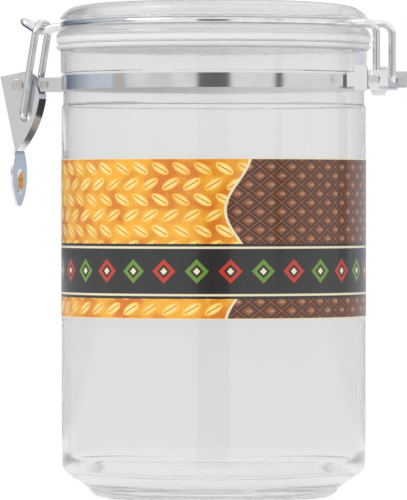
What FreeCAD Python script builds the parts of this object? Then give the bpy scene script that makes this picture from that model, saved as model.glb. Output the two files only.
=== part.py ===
import FreeCAD, Part
import math
import os

# Clear clamp-lid food canister, millimetres.
# Origin on the jar's axis at the base plane, +Z up, +X towards the lid hinge, -X towards the latch.
V = FreeCAD.Vector
UP = V(0, 0, 1)
ACROSS = V(0, 1, 0)
DIAGONAL = math.sqrt(0.5)

# jar
seam_turn = 109.0
jar_r = 60.0
jar_wall = 2.4
base_wall_z = 13.6
base_edge_r = 58.2
base_edge_z = 9.3
base_inner_r = 44.0
base_inner_z = 18.5
floor_z = 4.9
foot_r = 44.5
notch_r = 50.2
notch_z = 3.9
shoulder_z = 154.3
seat_r = 59.4
seat_top = 166.7
seat_slope = 0.4
neck_r = 60.4
bead_r = 62.2
bead_z = 176.8
rim_z = 177.9

# lid and gasket
lid_flange_z = 178.6
lid_flange_r = 62.1
groove_low = 184.2
groove_high = 187.8
groove_r = 57.7
lip_r = 60.9
dome_z = 194.5
lid_inner_r = 53.0
spigot_r = 55.2
spigot_z = 175.5
lid_ceiling = 191.4

# label
label_z0 = 71.0
label_z1 = 133.0
label_gap = 0.05
label_thick = 0.15

# wire work
wire_r = 1.4
ring_r = 59.3
ring_z = 186.0
hinge_x = 70.4
hinge_z = 164.0
leg_y = 10.5
leg_end_y = 14.5
striker_y = 2.8
striker_tip_x = 80.0
striker_tip_z = 188.4
valley_x = 72.6
valley_z = 183.9

# neck band
band_z0 = 160.2
band_z1 = 165.8
band_thick = 0.8
band_r = 59.45
ear_y = 2.0
ear_tip_x = 85.0
ear_bend = 2.2

# latch
pivot_x = 81.4
pivot_z = 163.0
bail_x = 78.2
bail_z = 150.6
bar_x = 72.0
bar_z = 187.5
bail_leg_y = 6.9
bail_end_y = 5.0
bail_end_bend = 1.7
bail_bar_bend = 4.6
cheek_y0 = 3.1
sheet = 0.9
pivot_head = 0.6
stud_x = 70.6
stud_z = 163.0
bail_hole_r = 2.0
tab_x = -82.9
dish_half = 3.7
dish_deep = 1.2
dish_z0 = 123.1
dish_z1 = 125.7

# hinge bracket
bracket_y = 12.9
bracket_step = 0.6
saddle_r = 60.3
root_z0 = 159.5
root_z1 = 169.4
tip_z0 = 161.0
tip_z1 = 167.4
root_start = 62.4
root_end = 67.8
tip_end = 76.0
tongue_z = 157.8


def line(a, b):
    return Part.makeLine(a, b)


def arc(a, b, c):
    return Part.Arc(a, b, c).toShape()


def outline(points):
    """Closed face in the XZ plane; a three-number entry (x, z, 1) is the middle of an arc."""
    edges = []
    i = 0
    n = len(points)
    while i < n:
        a = V(points[i][0], 0, points[i][1])
        nxt = points[(i + 1) % n]
        if len(nxt) == 3:
            far = points[(i + 2) % n]
            edges.append(arc(a, V(nxt[0], 0, nxt[1]), V(far[0], 0, far[1])))
            i += 2
        else:
            edges.append(line(a, V(nxt[0], 0, nxt[1])))
            i += 1
    return Part.Face(Part.Wire(edges))


def turned(points):
    """Solid of revolution about the jar's axis."""
    shape = outline(points).revolve(V(0, 0, 0), UP, 360)
    shape.rotate(V(0, 0, 0), UP, seam_turn)
    return shape


def slab(points, y0, y1):
    """XZ outline pushed from y0 to y1."""
    face = outline(points)
    face.translate(V(0, y0, 0))
    return face.extrude(V(0, y1 - y0, 0))


def block(x0, x1, y0, y1, z0, z1):
    return Part.makeBox(x1 - x0, y1 - y0, z1 - z0, V(x0, y0, z0))


def pin(x, z, r, y0, y1):
    """Round bar across the canister, from y0 to y1."""
    return Part.makeCylinder(r, y1 - y0, V(x, y0, z), ACROSS)


def mirrored(shape):
    return shape.mirror(V(0, 0, 0), ACROSS)


def rounded_path(points, bends):
    """Edges through the points, with a bend of the given radius at each inner point."""
    edges = []
    start = points[0]
    for i, bend in enumerate(bends, 1):
        corner = points[i]
        back = (points[i - 1] - corner).normalize()
        ahead = (points[i + 1] - corner).normalize()
        half = back.getAngle(ahead) / 2
        reach = bend / math.tan(half)
        middle = (back + ahead).normalize() * (bend / math.sin(half) - bend)
        edges.append(line(start, corner + back * reach))
        edges.append(arc(corner + back * reach, corner + middle, corner + ahead * reach))
        start = corner + ahead * reach
    edges.append(line(start, points[-1]))
    return edges


def round_wire(edges, start, way):
    """Solid round wire along the edges, which begin at start and set off along way."""
    path = Part.Wire(Part.__sortEdges__(edges))
    ring = Part.Wire(Part.makeCircle(wire_r, start, way))
    return path.makePipeShell([ring], True, False)


def leave_ring(radius, side_y, bend, towards):
    """Bend from a ring in plan to a straight run at y = side_y: ring point, middle, run point."""
    cx = towards * math.sqrt((radius + bend) ** 2 - (side_y + bend) ** 2)
    centre = V(cx, side_y + bend, 0)
    on_ring = centre * (radius / (radius + bend))
    on_run = V(cx, side_y, 0)
    half = ((on_ring - centre) + (on_run - centre)).normalize()
    return on_ring, centre + half * bend, on_run


def make_body():
    inner_round = base_inner_z - floor_z
    return turned([
        (0, 0), (foot_r, 0),
        (47.9, 1.3, 1), (notch_r - 0.6, notch_z - 0.3), (notch_r, notch_z), (base_edge_r, base_edge_z),
        (jar_r - 0.5, base_wall_z - 2.4, 1), (jar_r, base_wall_z),
        (jar_r, shoulder_z - 1.0), (jar_r - 0.25, shoulder_z - 0.25, 1),
        (jar_r - 0.7, shoulder_z), (seat_r, shoulder_z + 0.6), (seat_r, seat_top),
        (neck_r, seat_top + seat_slope), (neck_r, bead_z - 1.2), (bead_r - 0.4, bead_z - 0.3),
        (bead_r, bead_z + 0.3), (bead_r, rim_z - 0.5), (bead_r - 0.5, rim_z),
        (jar_r - jar_wall + 0.5, rim_z), (jar_r - jar_wall, rim_z - 0.6),
        (jar_r - jar_wall, base_inner_z),
        (base_inner_r + inner_round * DIAGONAL, base_inner_z - inner_round * DIAGONAL, 1),
        (base_inner_r, floor_z), (0, floor_z),
    ])


def make_lid():
    return turned([
        (0, lid_ceiling), (lid_inner_r - 6.0, lid_ceiling - 0.3),
        (lid_inner_r - 1.5, lid_ceiling - 1.9, 1), (lid_inner_r, lid_ceiling - 6.0),
        (lid_inner_r, spigot_z), (spigot_r - 0.5, spigot_z), (spigot_r, spigot_z + 0.5),
        (spigot_r, lid_flange_z), (lid_flange_r - 0.6, lid_flange_z),
        (lid_flange_r, lid_flange_z + 0.6), (lid_flange_r - 0.05, lid_flange_z + 1.7),
        (lid_flange_r - 0.5, lid_flange_z + 4.2, 1), (lid_flange_r - 1.6, groove_low),
        (groove_r, groove_low), (groove_r, groove_high), (lip_r - 0.3, groove_high),
        (lip_r, groove_high + 0.4), (58.4, 191.2, 1), (53.4, 193.3), (49.4, 193.95, 1), (44.0, 194.3),
        (0, dome_z),
    ])


def make_gasket():
    low = rim_z + 0.1
    high = lid_flange_z - 0.05
    return turned([
        (spigot_r + 0.1, low), (61.0, low), (61.0 + (high - low) / 2, (low + high) / 2, 1),
        (61.0, high), (spigot_r + 0.1, high),
    ])


def make_label():
    r0 = jar_r + label_gap
    r1 = r0 + label_thick
    return turned([(r0, label_z0), (r1, label_z0), (r1, label_z1), (r0, label_z1)])


def make_lid_wire():
    lift = V(0, 0, ring_z)
    h_ring, h_mid, h_run = leave_ring(ring_r, leg_y, 3.0, 1)
    s_ring, s_mid, s_run = leave_ring(ring_r, striker_y, 2.5, -1)
    tip = V(-striker_tip_x, 0, striker_tip_z)
    rise = (tip - V(-valley_x, 0, valley_z)).normalize()
    turn = tip - rise * striker_y
    start = V(hinge_x, leg_end_y, hinge_z)
    half = rounded_path(
        [start, V(hinge_x, leg_y, hinge_z), V(hinge_x, leg_y, ring_z), h_run + lift],
        [1.6, 4.2],
    )
    half.append(arc(h_run + lift, h_mid + lift, h_ring + lift))
    half.append(arc(h_ring + lift, V(0, ring_r, ring_z), s_ring + lift))
    half.append(arc(s_ring + lift, s_mid + lift, s_run + lift))
    half += rounded_path(
        [s_run + lift, V(-66.5, striker_y, ring_z), V(-valley_x, striker_y, valley_z),
         turn + V(0, striker_y, 0)],
        [4.0, 5.0],
    )
    loop = [arc(turn + V(0, striker_y, 0), tip, turn - V(0, striker_y, 0))]
    wire = round_wire(half + loop + [mirrored(e) for e in half], start, V(0, -1, 0))
    head = pin(hinge_x, hinge_z, 2.1, bracket_y + 0.45, leg_end_y)
    head = head.makeFillet(0.5, [head.Edges[0]])
    return wire.fuse([head, mirrored(head)]).removeSplitter()


def make_bail():
    half = [
        V(-bail_x, bail_end_y, bail_z), V(-bail_x, bail_leg_y, bail_z), V(-bar_x, bail_leg_y, bar_z),
    ]
    points = half + [V(p.x, -p.y, p.z) for p in reversed(half)]
    edges = rounded_path(points, [bail_end_bend, bail_bar_bend, bail_bar_bend, bail_end_bend])
    return round_wire(edges, points[0], ACROSS)


def strip_side(radius, ear, bend):
    """One face of the band in plan, from ear tip to ear tip."""
    on_ring, middle, on_run = leave_ring(radius, ear, bend, -1)
    tip = V(-ear_tip_x, ear, 0)
    half = [line(tip, on_run), arc(on_run, middle, on_ring)]
    round_part = arc(on_ring, V(radius, 0, 0), V(on_ring.x, -on_ring.y, 0))
    return half, round_part


def make_band():
    inner, inner_ring = strip_side(band_r, ear_y, ear_bend + band_thick)
    outer, outer_ring = strip_side(band_r + band_thick, ear_y + band_thick, ear_bend)
    edges = inner + outer + [mirrored(e) for e in inner + outer] + [inner_ring, outer_ring]
    for side in (1, -1):
        edges.append(line(V(-ear_tip_x, side * ear_y, 0), V(-ear_tip_x, side * (ear_y + band_thick), 0)))
    plan = Part.Face(Part.Wire(Part.__sortEdges__(edges)))
    plan.translate(V(0, 0, band_z0))
    band = plan.extrude(V(0, 0, band_z1 - band_z0))
    tall = band_z1 - band_z0
    tips = [e for e in band.Edges if e.BoundBox.XMax < -ear_tip_x + 0.01 and e.BoundBox.YLength > 0.5]
    band = band.makeFillet(tall / 2 - 0.1, tips)
    holes = [pin(-pivot_x, pivot_z, 1.55, -4, 4), pin(-stud_x, stud_z, 1.3, -4, 4)]
    return band.cut(holes)


def make_spacer():
    tube = pin(-stud_x, stud_z, 2.4, 0.05 - ear_y, ear_y - 0.05)
    return tube.cut(pin(-stud_x, stud_z, 1.3, -4, 4))


def rivet(x, z, shank, head, face_y, tall):
    """Rivet with a domed head against each outer face."""
    cap = pin(x, z, head, face_y, face_y + tall)
    cap = cap.makeFillet(tall * 0.7, [cap.Edges[0]])
    return pin(x, z, shank, -face_y, face_y).fuse([cap, mirrored(cap)]).removeSplitter()


def capsule(x, r):
    """Upright round-ended bar that presses the dish into the thumb tab."""
    rod = Part.makeCylinder(r, dish_z1 - dish_z0, V(x, 0, dish_z0), UP)
    return rod.fuse([Part.makeSphere(r, V(x, 0, z)) for z in (dish_z0, dish_z1)])


def make_lever():
    cheek_y1 = cheek_y0 + sheet
    edge = [(-72.26, 157.4), (-75.2, 147.2, 1), (-82.4, 136.1)]
    cheek = slab([
        (-88.8, 166.2), (-78.6, 168.2), (-74.3, 164.3, 1), edge[0], edge[1], edge[2],
    ], cheek_y0, cheek_y1)
    web = slab([
        (-72.45, 159.3), (-72.26, 157.4), (-75.2, 147.2, 1), (-82.4, 136.1), (-83.1, 136.7),
        (-76.05, 147.6, 1), (-73.16, 157.5), (-73.35, 159.4),
    ], -cheek_y1, cheek_y1)
    leaf = [V(tab_x, 4, 137.4), V(tab_x, 8, 127), V(tab_x, 2.2, 115.3), V(tab_x, 0, 114.5)]
    back = [V(p.x, -p.y, p.z) for p in leaf]
    edges = [arc(leaf[0], leaf[1], leaf[2]), arc(leaf[2], leaf[3], back[2]),
             arc(back[2], back[1], back[0]), line(back[0], leaf[0])]
    tab = Part.Face(Part.Wire(edges)).extrude(V(sheet, 0, 0))
    dish_r = (dish_half ** 2 + dish_deep ** 2) / (2 * dish_deep)
    middle_x = tab_x + sheet + dish_r - dish_deep
    bulge = capsule(middle_x, dish_r + sheet).common(block(tab_x - 4, tab_x + 0.2, -9, 9, 112, 140))
    lever = cheek.fuse([mirrored(cheek), web, tab, bulge])
    bail_hole = pin(-bail_x - 0.1, bail_z + wire_r - bail_hole_r, bail_hole_r, -6, 6)
    holes = [pin(-pivot_x, pivot_z, 1.56, -6, 6), bail_hole]
    return lever.cut([capsule(middle_x, dish_r)] + holes).removeSplitter()


def make_bracket():
    step = bracket_y - bracket_step
    neck_z1 = tip_z1 - 0.8
    root = slab([
        (59.3, tip_z0), (root_start, tip_z0), (root_start, root_z0 + 0.4), (root_start + 0.4, root_z0),
        (root_end - 0.5, root_z0), (root_end, root_z0 + 1.2), (root_end, root_z1 - 1.2),
        (root_end - 0.5, root_z1), (root_start + 0.4, root_z1), (root_start, root_z1 - 0.4),
        (root_start, neck_z1), (59.3, neck_z1),
    ], bracket_y, bracket_y + sheet)
    tip = slab([
        (root_end - 0.6, tip_z0), (tip_end - 0.5, tip_z0), (tip_end, tip_z0 + 0.5),
        (tip_end, tip_z1 - 0.5), (tip_end - 0.5, tip_z1), (root_end - 0.6, tip_z1),
    ], step, step + sheet)
    spread = math.degrees(math.asin((bracket_y + sheet - 0.05) / saddle_r))
    saddle = outline([
        (saddle_r, tip_z0), (saddle_r + sheet, tip_z0),
        (saddle_r + sheet, neck_z1), (saddle_r, neck_z1),
    ]).revolve(V(0, 0, 0), UP, 2 * spread)
    saddle.rotate(V(0, 0, 0), UP, -spread)
    web = block(root_end - 2.2, 72.0, -step - 0.3, step + 0.3, tip_z0 - sheet, tip_z0 + 0.02)
    tongue = slab([
        (64.2, tip_z0), (65.8, tongue_z), (70.6, tongue_z), (70.9, tip_z0),
    ], -0.45, 0.45)
    bracket = saddle.fuse([root, mirrored(root), tip, mirrored(tip), web, tongue])
    return bracket.cut(pin(hinge_x, hinge_z, wire_r + 0.08, -20, 20)).removeSplitter()


nodes = {
    "canister_body": make_body(),
    "lid": make_lid(),
    "lid_gasket": make_gasket(),
    "lid_wire": make_lid_wire(),
    "latch_bail": make_bail(),
    "latch_lever": make_lever(),
    "lever_pivot_rivet": rivet(-pivot_x, pivot_z, 1.5, 2.35, cheek_y0 + sheet + 0.08, pivot_head),
    "neck_band": make_band(),
    "band_ear_spacer": make_spacer(),
    "band_ear_rivet": rivet(-stud_x, stud_z, 1.25, 1.8, ear_y + band_thick + 0.05, 0.55),
    "hinge_bracket": make_bracket(),
    "label_wrap": make_label(),
}

os.makedirs("parts", exist_ok=True)
for name, shape in nodes.items():
    solids = shape.Solids
    print(name, "valid", shape.isValid(), "solids", len(solids), "volume", round(shape.Volume, 1))
    solids[0].exportStep("parts/" + name + ".step")
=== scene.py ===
import math

import bpy
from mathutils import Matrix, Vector

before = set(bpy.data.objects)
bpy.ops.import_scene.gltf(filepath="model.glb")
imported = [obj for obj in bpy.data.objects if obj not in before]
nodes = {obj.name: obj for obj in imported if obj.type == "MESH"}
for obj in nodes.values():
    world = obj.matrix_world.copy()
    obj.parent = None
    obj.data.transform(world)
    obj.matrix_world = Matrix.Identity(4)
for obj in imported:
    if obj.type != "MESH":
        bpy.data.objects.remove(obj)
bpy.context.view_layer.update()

# the photograph's viewpoint, in metres
VIEW_AZIMUTH = math.radians(19.0)
EYE_DISTANCE = 2.0
EYE_HEIGHT = 0.115
FRAME_HEIGHT = 0.1975
FRAME_MIDDLE = (-0.0040, 0.0972)
SENSOR = 24.0

# light bounces, enough for thick clear plastic
CLEAR_BOUNCES = 32

# what mirrors see: the sky at the rear left, at the left, in front and straight behind, and the far floor
REAR_CARD = (0.07, 0.10, 0.17)
SIDE_CARD = (0.62, 0.67, 0.74)
FRONT_CARD = (0.77, 0.775, 0.785)
BEHIND = (0.60, 0.60, 0.62)
FLOOR_BEHIND = (0.50, 0.50, 0.51)

# narrower cards in that sky: degrees from the camera, half width in degrees, tone
SKY_CARDS = (
    (-158, 4, (0.10, 0.11, 0.11)),
    (-76, 5, (0.50, 0.49, 0.46)),
    (-40, 9, (0.67, 0.67, 0.67)),
    (0, 11.5, (0.16, 0.155, 0.14)),
    (50, 2.2, (0.035, 0.035, 0.035)),
    (115, 6, (0.012, 0.012, 0.014)),
    (142, 12, (0.50, 0.56, 0.67)),
)
CARD_FADE = 0.03

# where the sky's tones change, in radians from the camera's side, and up to which slope they reach
REAR_TO_SIDE = (-2.75, -1.6)
SIDE_TO_FRONT = (-1.3, -1.1)
LEFT_END = (-1.5, -1.0)
BEHIND_HALF = 0.40
BEHIND_FADE = 0.12
SIDEWAYS = (2.5, 3.05)
SIDEWAYS_SLOPE = (0.15, 0.35)

# where the floor's tones change, in metres from the axis and behind it
FOOT_RING = (0.05, 0.30)
FAR_FLOOR = (0.35, 0.60)

# what shows through the plastic: the sky behind and at the sides, the floor at the foot and farther off
WHITE = (1.0, 1.0, 1.0)
THROUGH = (0.79, 0.787, 0.78)
SIDE_THROUGH = (0.63, 0.63, 0.63)
FOOT_THROUGH = (0.76, 0.757, 0.75)
FLOOR_THROUGH = (0.61, 0.608, 0.60)

# flat cards of the stage that only mirrors see: corners in metres, dark tone, light tone
CAMERA_TONES = ((0.13, 0.125, 0.115), (0.16, 0.155, 0.14))
LEVER_TONES = ((0.010, 0.008, 0.006), (0.030, 0.022, 0.017))
MIRROR_CARDS = {
    "camera_card": (
        [(0.191, -1.415, 0), (0.721, -1.233, 0), (0.721, -1.233, 0.25), (0.191, -1.415, 0.25)],
        *CAMERA_TONES,
    ),
    "camera_shelf": (
        [(0.029, -0.254, 0.001), (0.133, -0.219, 0.001), (0.721, -1.233, 0.001), (0.191, -1.415, 0.001)],
        *CAMERA_TONES,
    ),
    "lever_card": (
        [(-0.042, 0.06, 0.156), (-0.055, 0.06, 0.156), (-0.061, 0.06, 0.1368), (-0.048, 0.06, 0.1368)],
        *LEVER_TONES,
    ),
    "tan_card": (
        [(-0.003, 0.2, 0.105), (-0.026, 0.2, 0.105), (-0.043, 0.2, 0.0875), (-0.010, 0.2, 0.0875)],
        (0.34, 0.27, 0.22), (0.55, 0.46, 0.39),
    ),
    "low_card": (
        [(-0.0075, 0.2, 0.087), (-0.043, 0.2, 0.087), (-0.073, 0.2, 0.066), (-0.037, 0.2, 0.066)],
        *LEVER_TONES,
    ),
    "rear_shelf": (
        [(-0.13, -0.05, 0.13), (-0.13, 0.20, 0.13), (-1.3, 1.2, 0.13), (-1.6, -0.2, 0.13)],
        (0.06, 0.08, 0.14), (0.13, 0.16, 0.24),
    ),
    "side_shelf": (
        [(-0.09, -0.14, 0.13), (-0.13, -0.05, 0.13), (-1.6, -0.2, 0.13), (-1.1, -1.2, 0.13)],
        (0.32, 0.37, 0.45), (0.45, 0.49, 0.56),
    ),
}

FLOOR_RADIUS = 9.0
FLOOR_DROP = 0.0003
FLOOR_GLOW = 0.86
KEY_PLACE = (-0.9, -1.1, 1.3)
KEY_TARGET = (0, 0, 0.1)
KEY_SIZE = 0.8
KEY_WATTS = 6.0

PLASTIC_IOR = 1.49
SILICONE_IOR = 1.42

# the frosted rim, in metres above the base
RIM_MIDDLE = 0.1785
RIM_HALF = 0.0018
RIM_FADE = 0.0012
RIM_FROST = 0.7

JAR_RADIUS = 0.0602
LABEL_MIDDLE = 0.102
LABEL_HALF = 0.031

# label artwork, in millimetres
GRAIN_PITCH = 8.4
GRAIN_RISE = 6.0
GRAIN_LENGTH_SQUARED = 16
GRAIN_WIDTH_SQUARED = 3.4
GRAIN_LEAN = (0.86, 0.5)
LATTICE_PITCH = 9.0
LATTICE_SLOPE = 1.3
FIELD_JOIN = 9.5
WAVE_LENGTH = 7
WAVE_DEPTH = 5
BAND_MIDDLE = -12.5
BAND_HALF = 10.5
BAND_LINE_INSET = 1.4
GEM_PITCH = 13.0
GEM_OUTSIDE = 4.6
GEM_INSIDE = 2.6
GEM_CORE = 1.3
GEM_EDGE = 0.2
CREAM = (0.86, 0.76, 0.52)
AMBER_DEEP = (0.70, 0.19, 0.010)
AMBER_BRIGHT = (0.93, 0.45, 0.03)
GRAIN_CREASE = (0.70, 0.22, 0.012)
BAND_BLACK = (0.020, 0.018, 0.018)
GEM_RED = (0.55, 0.035, 0.015)
GEM_GREEN = (0.14, 0.29, 0.03)
LABEL_BACK = (0.84, 0.84, 0.82)


class Value:
    """A shader value that Python arithmetic works on; each sum adds its Math node."""

    def __init__(self, kit, socket):
        self.kit = kit
        self.socket = socket

    def __add__(self, other):
        return self.kit.maths("ADD", self, other)

    def __radd__(self, other):
        return self.kit.maths("ADD", other, self)

    def __sub__(self, other):
        return self.kit.maths("SUBTRACT", self, other)

    def __rsub__(self, other):
        return self.kit.maths("SUBTRACT", other, self)

    def __mul__(self, other):
        return self.kit.maths("MULTIPLY", self, other)

    def __rmul__(self, other):
        return self.kit.maths("MULTIPLY", other, self)

    def __truediv__(self, other):
        return self.kit.maths("DIVIDE", self, other)

    def __rtruediv__(self, other):
        return self.kit.maths("DIVIDE", other, self)

    def __abs__(self):
        return self.kit.maths("ABSOLUTE", self)


class Finish:
    """Builds the nodes of one material or of the sky."""

    def __init__(self, tree):
        self.tree = tree
        self.tree.nodes.clear()

    def node(self, kind, settings=None, sockets=None):
        made = self.tree.nodes.new(kind)
        for name, setting in (settings or {}).items():
            setattr(made, name, setting)
        for name, given in (sockets or {}).items():
            socket = made.inputs[name]
            if isinstance(given, Value):
                given = given.socket
            if isinstance(given, bpy.types.NodeSocket):
                self.tree.links.new(given, socket)
            else:
                socket.default_value = given
        return made

    def value(self, kind, settings=None, sockets=None, out=0):
        return Value(self, self.node(kind, settings, sockets).outputs[out])

    def maths(self, operation, *terms):
        return self.value("ShaderNodeMath", {"operation": operation}, dict(enumerate(terms)))

    def step(self, x, low, high):
        """0 below low, 1 above high, smooth between."""
        return self.value(
            "ShaderNodeMapRange", {"interpolation_type": "SMOOTHSTEP"},
            {"Value": x, "From Min": low, "From Max": high},
        )

    def stripe(self, x, middle, half, soft):
        """1 within half of the middle, fading over soft."""
        return 1 - self.step(abs(x - middle), half, half + soft)

    def mix(self, share, a, b):
        """Colour b over colour a by share."""
        under, over = ((*tone, 1) if isinstance(tone, tuple) else tone for tone in (a, b))
        mixed = self.node("ShaderNodeMix", {"data_type": "RGBA"}, {0: share, 6: under, 7: over})
        return mixed.outputs[2]

    def place(self):
        """Point on the object, in metres, as a vector and as x, y, z values."""
        point = self.node("ShaderNodeTexCoord").outputs["Object"]
        parts = self.node("ShaderNodeSeparateXYZ", None, {0: point})
        return point, [Value(self, parts.outputs[i]) for i in range(3)]

    def noise(self, point, scale):
        return self.value("ShaderNodeTexNoise", None, {"Vector": point, "Scale": scale, "Detail": 3.0})

    def stretched(self, point, factors):
        scaled = self.node("ShaderNodeVectorMath", {"operation": "MULTIPLY"}, {0: point, 1: factors})
        return scaled.outputs[0]

    def inner_side(self):
        """1 on faces that look towards the jar's axis."""
        coords = self.node("ShaderNodeTexCoord")
        flat = self.stretched(coords.outputs["Object"], (1, 1, 0))
        away = self.node("ShaderNodeVectorMath", {"operation": "NORMALIZE"}, {0: flat}).outputs[0]
        facing = self.value(
            "ShaderNodeVectorMath", {"operation": "DOT_PRODUCT"},
            {0: coords.outputs["Normal"], 1: away}, "Value",
        )
        return 1 - self.step(facing, -0.8, -0.5)

    def bump(self, height, strength, distance):
        raised = self.node(
            "ShaderNodeBump", None, {"Height": height, "Strength": strength, "Distance": distance},
        )
        return raised.outputs[0]

    def turn(self, x, y):
        """Angle round the axis from the camera's side, in radians from -pi to pi."""
        angle = self.maths("ARCTAN2", y, x) - (VIEW_AZIMUTH - math.pi / 2)
        return self.maths("WRAP", angle, math.pi, -math.pi)

    def surface(self, shader):
        self.node("ShaderNodeOutputMaterial", None, {"Surface": shader})


def material(name):
    made = bpy.data.materials.new(name)
    made.use_nodes = True
    return made, Finish(made.node_tree)


def clear_plastic(name, tint, clarity, blur):
    """Clear plastic; clarity is the share of light let through, blur its least roughness."""
    made, f = material(name)
    point, (_, _, z) = f.place()
    haze = f.step(f.noise(point, 60.0), 0.35, 0.75)
    clear = f.node("ShaderNodeBsdfPrincipled", None, {
        "Base Color": (*tint, 1), "Roughness": haze * 0.035 + blur,
        "IOR": PLASTIC_IOR, "Transmission Weight": clarity,
    })
    frost = f.node("ShaderNodeBsdfPrincipled", None, {
        "Base Color": (0.93, 0.93, 0.93, 1), "Roughness": 0.5,
    })
    rim = f.stripe(z, RIM_MIDDLE, RIM_HALF, RIM_FADE) * RIM_FROST
    body = f.node("ShaderNodeMixShader", None, {0: rim, 1: clear.outputs[0], 2: frost.outputs[0]})
    passed = f.node("ShaderNodeBsdfTransparent", None, {"Color": (0.97, 0.97, 0.98, 1)})
    shadow = f.node("ShaderNodeLightPath").outputs["Is Shadow Ray"]
    whole = f.node("ShaderNodeMixShader", None, {0: shadow, 1: body.outputs[0], 2: passed.outputs[0]})
    f.surface(whole.outputs[0])
    return made


def silicone():
    made, f = material("milky_silicone")
    point, _ = f.place()
    grain = f.noise(point, 900.0)
    tone = f.mix(f.noise(point, 70.0), (0.92, 0.92, 0.93), (0.97, 0.97, 0.97))
    f.surface(f.node("ShaderNodeBsdfPrincipled", None, {
        "Base Color": tone, "Roughness": grain * 0.2 + 0.35,
        "IOR": SILICONE_IOR, "Transmission Weight": 0.4,
        "Normal": f.bump(grain, 0.1, 0.0002),
    }).outputs[0])
    return made


def bright_metal(name, tone, rough, grain_way, wear, painted_reflection_inside=False):
    made, f = material(name)
    point, _ = f.place()
    grain = f.noise(f.stretched(point, grain_way), 900.0)
    cloud = f.noise(point, 140.0)
    dull = tuple(c * wear for c in tone)
    shade = f.mix(f.step(cloud, 0.4, 0.75), tone, dull)
    gloss = grain * rough * 0.6 + cloud * 0.06 + rough * 0.6
    metal = 1.0
    # inner faces turn rougher and stop being metal; their flat near-white colour is a painted reflection,
    # standing in for the bright mirror of the band's inside
    if painted_reflection_inside:
        inside = f.inner_side()
        shade = f.mix(inside, shade, (0.96, 0.97, 0.97))
        gloss = gloss + inside * 0.4
        metal = 1 - inside
    f.surface(f.node("ShaderNodeBsdfPrincipled", None, {
        "Base Color": shade, "Metallic": metal, "Roughness": gloss,
        "Normal": f.bump(grain, 0.06, 0.0001),
    }).outputs[0])
    return made


def grain_field(f, point, along, up):
    """Amber ground with rows of leaning grains; sizes in millimetres round the label and up it."""
    row = f.maths("FLOOR", up / GRAIN_RISE)
    odd = f.maths("FLOORED_MODULO", row, 2)
    lean = odd * 2 - 1
    place = along / GRAIN_PITCH + odd * 0.5
    across = (f.maths("FRACT", place) - 0.5) * GRAIN_PITCH
    rise = (f.maths("FRACT", up / GRAIN_RISE) - 0.5) * GRAIN_RISE
    level, tilt = GRAIN_LEAN
    length = across * level + rise * lean * tilt
    width = rise * level - across * lean * tilt
    spread = length * length / GRAIN_LENGTH_SQUARED + width * width / GRAIN_WIDTH_SQUARED
    cell = f.node("ShaderNodeCombineXYZ", None, {0: f.maths("FLOOR", place), 1: row}).outputs[0]
    luck = f.value("ShaderNodeTexWhiteNoise", {"noise_dimensions": "2D"}, {"Vector": cell})
    ground = f.mix(f.step(f.noise(point, 90.0), 0.35, 0.65), AMBER_DEEP, AMBER_BRIGHT)
    ripe = f.mix(luck, (0.95, 0.47, 0.03), (0.98, 0.66, 0.10))
    ripe = f.mix(f.step(spread, 0.0, 0.9), f.mix(luck, (0.98, 0.74, 0.22), (1.0, 0.84, 0.36)), ripe)
    colour = f.mix(1 - f.step(spread, 0.85, 1.0), ground, ripe)
    crease = f.stripe(width, 0, 0.12, 0.25) * (1 - f.step(spread, 0.5, 0.7))
    return f.mix(crease, colour, GRAIN_CREASE)


def lattice_field(f, point, along, up):
    """Brown quilted lattice with a bead in each cell."""
    one = f.maths("FRACT", (along + up * LATTICE_SLOPE) / LATTICE_PITCH) - 0.5
    two = f.maths("FRACT", (along - up * LATTICE_SLOPE) / LATTICE_PITCH) - 0.5
    edge = f.maths("MAXIMUM", abs(one), abs(two))
    warm = f.noise(point, 110.0)
    pad = f.mix(warm, (0.20, 0.062, 0.024), (0.34, 0.125, 0.05))
    colour = f.mix(f.step(edge, 0.12, 0.44), pad, (0.050, 0.013, 0.006))
    colour = f.mix(f.step(edge, 0.455, 0.475), colour, (0.30, 0.11, 0.045))
    lit = f.stripe(one + two, 0.22, 0.03, 0.10) * f.stripe(one - two, 0.0, 0.12, 0.08)
    colour = f.mix(lit * 0.7, colour, (0.62, 0.34, 0.18))
    bead = one * one + two * two
    return f.mix(1 - f.step(bead, 0.010, 0.016), colour, (0.46, 0.19, 0.075))


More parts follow.
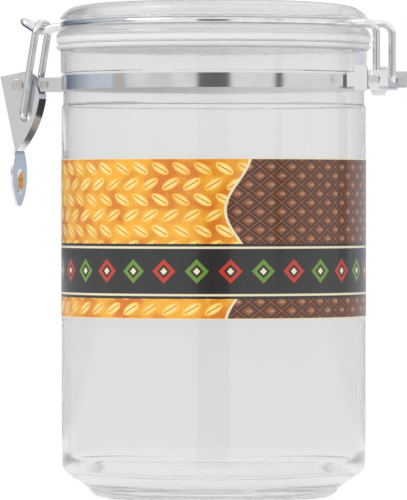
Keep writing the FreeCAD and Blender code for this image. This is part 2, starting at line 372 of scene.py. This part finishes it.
def printed_label():
    """Wrap label: grain field, lattice field and a dark band with small diamonds."""
    made, f = material("printed_wrap_label")
    point, (x, y, z) = f.place()
    turn = f.turn(x, y)
    along = turn * (JAR_RADIUS * 1000)
    up = (z - LABEL_MIDDLE) * 1000

    # the two fields meet in a soft wave, and again at the back
    front = along + f.maths("SINE", up / WAVE_LENGTH) * WAVE_DEPTH
    colour = f.mix(
        f.step(front, FIELD_JOIN - 0.5, FIELD_JOIN + 0.5),
        grain_field(f, point, along, up), lattice_field(f, point, along, up),
    )
    colour = f.mix(f.stripe(front, FIELD_JOIN, 0.45, 0.25), colour, CREAM)

    # dark band with red and green diamonds
    colour = f.mix(f.stripe(up, BAND_MIDDLE, BAND_HALF, 0.15), colour, BAND_BLACK)
    line = BAND_HALF - BAND_LINE_INSET
    for edge in (BAND_MIDDLE - line, BAND_MIDDLE + line):
        colour = f.mix(f.stripe(up, edge, 0.35, 0.15), colour, CREAM)
    inside = (f.maths("FRACT", along / GEM_PITCH) - 0.5) * GEM_PITCH
    diamond = abs(inside) + abs(up - BAND_MIDDLE)
    green = f.maths("FLOORED_MODULO", f.maths("FLOOR", along / GEM_PITCH), 2)
    gem = f.mix(green, GEM_RED, GEM_GREEN)
    outer = 1 - f.step(diamond, GEM_OUTSIDE, GEM_OUTSIDE + GEM_EDGE)
    colour = f.mix(outer * f.step(diamond, GEM_INSIDE, GEM_INSIDE + GEM_EDGE), colour, gem)
    colour = f.mix(1 - f.step(diamond, GEM_CORE, GEM_CORE + GEM_EDGE), colour, CREAM)

    rim = LABEL_HALF * 1000
    colour = f.mix(f.step(abs(up), rim - 0.5, rim - 0.3), colour, CREAM)
    colour = f.mix(f.inner_side(), colour, LABEL_BACK)
    overlap = f.stripe(abs(turn), math.pi, 0.03, 0.002)
    fibre = f.noise(point, 1400.0)
    f.surface(f.node("ShaderNodeBsdfPrincipled", None, {
        "Base Color": colour, "Roughness": fibre * 0.12 + 0.22,
        "Coat Weight": 0.35, "Coat Roughness": 0.06,
        "Normal": f.bump(fibre * 0.2 + overlap, 0.12, 0.0002),
    }).outputs[0])
    return made


def pale_floor():
    made, f = material("pale_floor")
    point, (x, y, _) = f.place()
    tone = f.mix(f.noise(point, 3.0), (0.14, 0.14, 0.14), (0.16, 0.16, 0.16))
    away = f.step(f.maths("SQRT", x * x + y * y), *FOOT_RING)
    through = f.mix(away, FOOT_THROUGH, FLOOR_THROUGH)
    path = f.node("ShaderNodeLightPath").outputs
    behind = f.step(y * math.cos(VIEW_AZIMUTH) - x * math.sin(VIEW_AZIMUTH), *FAR_FLOOR)
    glow = f.mix(Value(f, path["Is Reflection Ray"]) * behind, WHITE, FLOOR_BEHIND)
    glow = f.mix(path["Is Transmission Ray"], glow, through)
    f.surface(f.node("ShaderNodeBsdfPrincipled", None, {
        "Base Color": tone, "Roughness": 0.8, "Emission Color": glow, "Emission Strength": FLOOR_GLOW,
    }).outputs[0])
    bpy.ops.mesh.primitive_circle_add(
        vertices=96, radius=FLOOR_RADIUS, fill_type="NGON", location=(0, 0, -FLOOR_DROP),
    )
    floor = bpy.context.object
    floor.name = "floor"
    floor.data.materials.append(made)


def studio_sky():
    """White all round; bright metal also mirrors a row of grey and dark cards."""
    world = bpy.data.worlds.new("studio")
    bpy.context.scene.world = world
    world.use_nodes = True
    f = Finish(world.node_tree)
    way = f.node("ShaderNodeTexCoord").outputs["Generated"]
    parts = f.node("ShaderNodeSeparateXYZ", None, {0: way})
    x, y, z = (Value(f, parts.outputs[i]) for i in range(3))
    turn = f.turn(x, y)
    cards = f.mix(f.step(turn, *REAR_TO_SIDE), REAR_CARD, SIDE_CARD)
    cards = f.mix(f.step(turn, *SIDE_TO_FRONT), cards, FRONT_CARD)
    cards = f.mix(f.stripe(abs(turn), math.pi, BEHIND_HALF, BEHIND_FADE), cards, BEHIND)
    for angle, half, tone in SKY_CARDS:
        card = f.stripe(turn, math.radians(angle), math.radians(half), CARD_FADE)
        cards = f.mix(card, cards, tone)
    left = 1 - f.step(turn, *LEFT_END)
    level = 1 - f.step(abs(z), left * 0.3 + 0.2, left * 0.35 + 0.42)
    path = f.node("ShaderNodeLightPath").outputs
    sideways = (1 - f.step(abs(turn), *SIDEWAYS)) * (1 - f.step(abs(z), *SIDEWAYS_SLOPE))
    through = f.mix(sideways, THROUGH, SIDE_THROUGH)
    tone = f.mix(path["Is Transmission Ray"], WHITE, through)
    tone = f.mix(Value(f, path["Is Reflection Ray"]) * level, tone, cards)
    light = f.node("ShaderNodeBackground", None, {"Color": tone, "Strength": 1.0})
    f.node("ShaderNodeOutputWorld", None, {"Surface": light.outputs[0]})


def mirror_card(name, corners, dark, light):
    """Streaked card round the set that only mirrors see."""
    made, f = material(name)
    point, _ = f.place()
    tone = f.mix(f.step(f.noise(f.stretched(point, (1, 1, 8)), 16.0), 0.4, 0.7), dark, light)
    paint = f.node("ShaderNodeBsdfPrincipled", None, {"Base Color": tone, "Roughness": 0.9})
    f.surface(paint.outputs[0])
    mesh = bpy.data.meshes.new(name)
    mesh.from_pydata(corners, [], [range(len(corners))])
    mesh.materials.append(made)
    card = bpy.data.objects.new(name, mesh)
    bpy.context.collection.objects.link(card)
    card.visible_camera = False
    card.visible_diffuse = False
    card.visible_transmission = False
    card.visible_shadow = False


def soft_lamp(name, place, target, size, watts):
    light = bpy.data.lights.new(name, "AREA")
    light.size = size
    light.energy = watts
    lamp = bpy.data.objects.new(name, light)
    lamp.location = place
    lamp.rotation_euler = (Vector(target) - Vector(place)).to_track_quat("-Z", "Y").to_euler()
    bpy.context.collection.objects.link(lamp)


def camera():
    towards = Vector((math.sin(VIEW_AZIMUTH), -math.cos(VIEW_AZIMUTH), 0))
    right = Vector((math.cos(VIEW_AZIMUTH), math.sin(VIEW_AZIMUTH), 0))
    eye = towards * EYE_DISTANCE + Vector((0, 0, EYE_HEIGHT))
    aim = right * FRAME_MIDDLE[0] + Vector((0, 0, FRAME_MIDDLE[1]))
    lens = bpy.data.cameras.new("camera")
    lens.sensor_fit = "VERTICAL"
    lens.sensor_height = SENSOR
    lens.lens = SENSOR * EYE_DISTANCE / FRAME_HEIGHT
    lens.clip_end = 50
    cam = bpy.data.objects.new("camera", lens)
    cam.location = eye
    cam.rotation_euler = (aim - eye).to_track_quat("-Z", "Y").to_euler()
    bpy.context.collection.objects.link(cam)
    bpy.context.scene.camera = cam


def dress():
    jar_plastic = clear_plastic("clear_jar_plastic", (0.965, 0.964, 0.962), 0.96, 0.03)
    lid_plastic = clear_plastic("clear_lid_plastic", (0.945, 0.945, 0.950), 0.88, 0.10)
    wire = bright_metal("polished_wire", (0.82, 0.82, 0.825), 0.12, (1, 1, 0.15), 0.9)
    sheet = bright_metal("polished_sheet", (0.80, 0.80, 0.81), 0.10, (1, 1, 6), 0.92)
    band = bright_metal("band_strip", (0.80, 0.80, 0.81), 0.10, (1, 1, 6), 0.92, painted_reflection_inside=True)
    plate = bright_metal("bracket_plate", (0.97, 0.97, 0.97), 0.16, (1, 1, 6), 0.96)
    rivet = bright_metal("satin_rivet", (0.66, 0.61, 0.57), 0.32, (1, 1, 1), 0.85)
    finishes = {
        "canister_body": jar_plastic, "lid": lid_plastic, "lid_gasket": silicone(),
        "lid_wire": wire, "latch_bail": wire,
        "latch_lever": sheet, "neck_band": band, "hinge_bracket": plate,
        "lever_pivot_rivet": rivet, "band_ear_spacer": rivet, "band_ear_rivet": rivet,
        "label_wrap": printed_label(),
    }
    for name, finish in finishes.items():
        mesh = nodes[name].data
        mesh.materials.clear()
        mesh.materials.append(finish)


dress()
pale_floor()
studio_sky()
for name, (corners, dark, light) in MIRROR_CARDS.items():
    mirror_card(name, corners, dark, light)
soft_lamp("key", KEY_PLACE, KEY_TARGET, KEY_SIZE, KEY_WATTS)
camera()
bpy.context.scene.view_settings.view_transform = "Standard"
for limit in ("max_bounces", "glossy_bounces", "transmission_bounces", "transparent_max_bounces"):
    setattr(bpy.context.scene.cycles, limit, CLEAR_BOUNCES)
